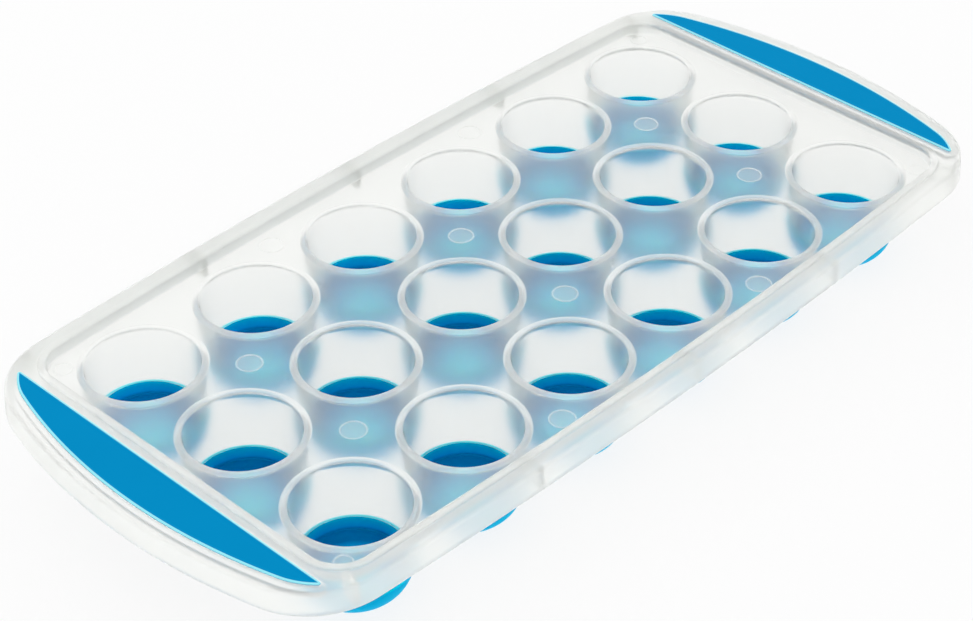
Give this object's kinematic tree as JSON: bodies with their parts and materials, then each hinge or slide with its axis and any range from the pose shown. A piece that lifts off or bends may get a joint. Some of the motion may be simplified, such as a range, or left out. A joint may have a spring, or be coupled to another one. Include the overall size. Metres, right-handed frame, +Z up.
{
  "type": "ice cube tray",
  "caption": "Flat oval-ended ice cube tray: a frosted rigid frame of round cells with soft blue push-out bottoms and a soft crescent grip at each end.",
  "frame": {"origin": "centre of the tray, on the surface that its soft bases stand on", "axes": "+X along the tray, +Y across it, +Z up out of the cells"},
  "size_m": [0.288, 0.1376, 0.0314],
  "materials": {
    "frosted_plastic": "frosted translucent",
    "soft_base": "smooth satin",
    "soft_grip": "satin"
  },
  "bodies": {
    "root": {"tray_frame": "frosted_plastic", "cell_base_a1": "soft_base", "cell_base_a2": "soft_base", "cell_base_a3": "soft_base", "cell_base_a4": "soft_base", "cell_base_a5": "soft_base", "cell_base_a6": "soft_base", "cell_base_b1": "soft_base", "cell_base_b2": "soft_base", "cell_base_b3": "soft_base", "cell_base_b4": "soft_base", "cell_base_b5": "soft_base", "cell_base_b6": "soft_base", "cell_base_c1": "soft_base", "cell_base_c2": "soft_base", "cell_base_c3": "soft_base", "cell_base_c4": "soft_base", "cell_base_c5": "soft_base", "cell_base_c6": "soft_base", "grip_left": "soft_grip", "grip_right": "soft_grip"}
  },
  "joints": []
}
